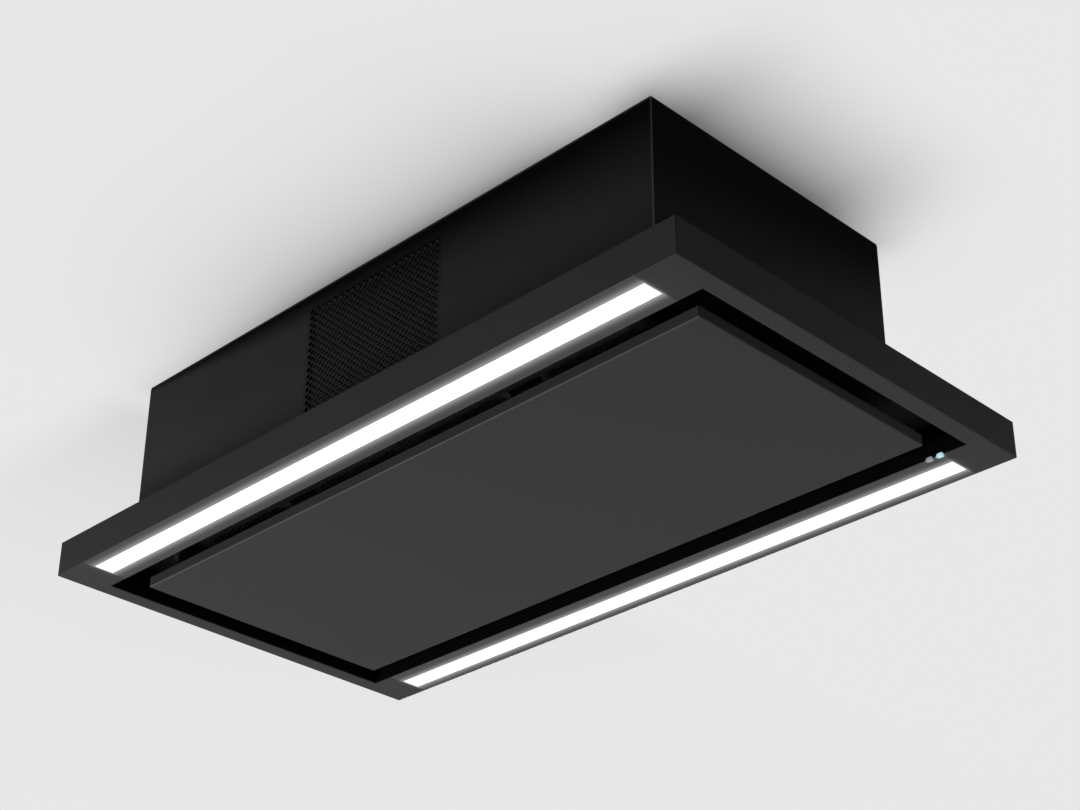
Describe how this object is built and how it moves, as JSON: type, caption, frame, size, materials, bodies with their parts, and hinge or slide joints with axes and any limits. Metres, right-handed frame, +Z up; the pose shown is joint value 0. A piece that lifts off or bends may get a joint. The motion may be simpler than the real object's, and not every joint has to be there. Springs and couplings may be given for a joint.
{
  "type": "ceiling range hood",
  "caption": "Flat ceiling-mounted range hood with a hinged suction panel, two lamp strips, grease filters and a recirculating blower behind a perforated outlet.",
  "frame": {"origin": "centre of the four ceiling bolts, on the ceiling plane, above the middle of the tray", "axes": "+X along the hood's length, +Y from the perforated outlet side to the hinge side, +Z up into the ceiling"},
  "size_m": [0.9, 0.5, 0.231],
  "materials": {
    "black_coat": "matt black powder coat",
    "zinc_plated": "zinc-plated sheet steel",
    "bright_screw": "bright steel",
    "aluminium": "satin",
    "filter_mesh": "layers of expanded mesh",
    "opal_diffuser": "opal acrylic, lit from behind",
    "circuit_board": "solder mask",
    "black_plastic": "moulded, fine grain",
    "grey_plastic": "moulded",
    "rubber": "soft black rubber",
    "motor_case": "plated steel shell",
    "bearing_bronze": "sintered bronze",
    "magnet": "nickel-plated",
    "charcoal": "pressed charcoal grains",
    "receiver_lens": "smoked clear plastic",
    "status_lens": "clear light guide, lit"
  },
  "bodies": {
    "housing": {"blower_pillars": "zinc_plated", "cable_grommet": "black_plastic", "casing_back": "black_coat", "casing_end_left": "black_coat", "casing_end_right": "black_coat", "casing_foot_screws": "bright_screw", "casing_front": "black_coat", "casing_top_screws": "bright_screw", "charcoal_block": "charcoal", "charcoal_frame": "black_plastic", "control_board": "circuit_board", "control_box": "grey_plastic", "control_lid": "grey_plastic", "deck_screws": "bright_screw", "duct_gasket": "rubber", "filter_frame_left": "aluminium", "filter_frame_right": "aluminium", "filter_mesh_left": "filter_mesh", "filter_mesh_right": "filter_mesh", "filter_rail_back": "black_coat", "filter_rail_front": "black_coat", "hinge_bracket_left": "black_coat", "hinge_bracket_right": "black_coat", "hinge_pins": "bright_screw", "inlet_ring": "black_plastic", "lamp_board_back": "circuit_board", "lamp_board_front": "circuit_board", "lamp_diffuser_back": "opal_diffuser", "lamp_diffuser_front": "opal_diffuser", "lamp_driver": "grey_plastic", "lamp_profile_back": "aluminium", "lamp_profile_front": "aluminium", "magnet_holders": "black_plastic", "motor_bearings": "bearing_bronze", "motor_bracket": "zinc_plated", "motor_housing": "motor_case", "motor_mounts": "rubber", "mounting_plate": "black_coat", "outlet_duct": "black_plastic", "panel_magnets": "magnet", "receiver_lens": "receiver_lens", "scroll_lower": "black_plastic", "scroll_upper": "black_plastic", "status_board": "circuit_board", "status_holder": "black_plastic", "status_lens": "status_lens", "terminal_block": "grey_plastic", "tray_deck": "black_coat", "tray_frame": "black_coat"},
    "suction_panel": {"panel_skin": "black_coat", "panel_backing": "zinc_plated", "hinge_leaf_left": "black_coat", "hinge_leaf_right": "black_coat", "panel_strikes": "zinc_plated"},
    "rotor": {"impeller": "black_plastic", "motor_shaft": "bright_screw", "impeller_nut": "bright_screw"},
    "latch_left": {"filter_latch_left": "black_plastic"},
    "latch_right": {"filter_latch_right": "black_plastic"}
  },
  "joints": [
    {"name": "panel_hinge", "type": "hinge", "parent": "housing", "child": "suction_panel", "pos_m": [0, 0.152, -0.2125], "axis": [1, 0, 0], "range_deg": [0, 88]},
    {"name": "fan_spin", "type": "hinge", "parent": "housing", "child": "rotor", "pos_m": [0.08336, -0.002, -0.092], "axis": [0, 0, 1], "continuous": true},
    {"name": "latch_slide_left", "type": "slide", "parent": "housing", "child": "latch_left", "axis": [0, 1, 0], "range_m": [0, 0.0045], "stiffness_N_per_m": 400, "springref_m": -0.002},
    {"name": "latch_slide_right", "type": "slide", "parent": "housing", "child": "latch_right", "axis": [0, 1, 0], "range_m": [0, 0.0045], "stiffness_N_per_m": 400, "springref_m": -0.002}
  ]
}
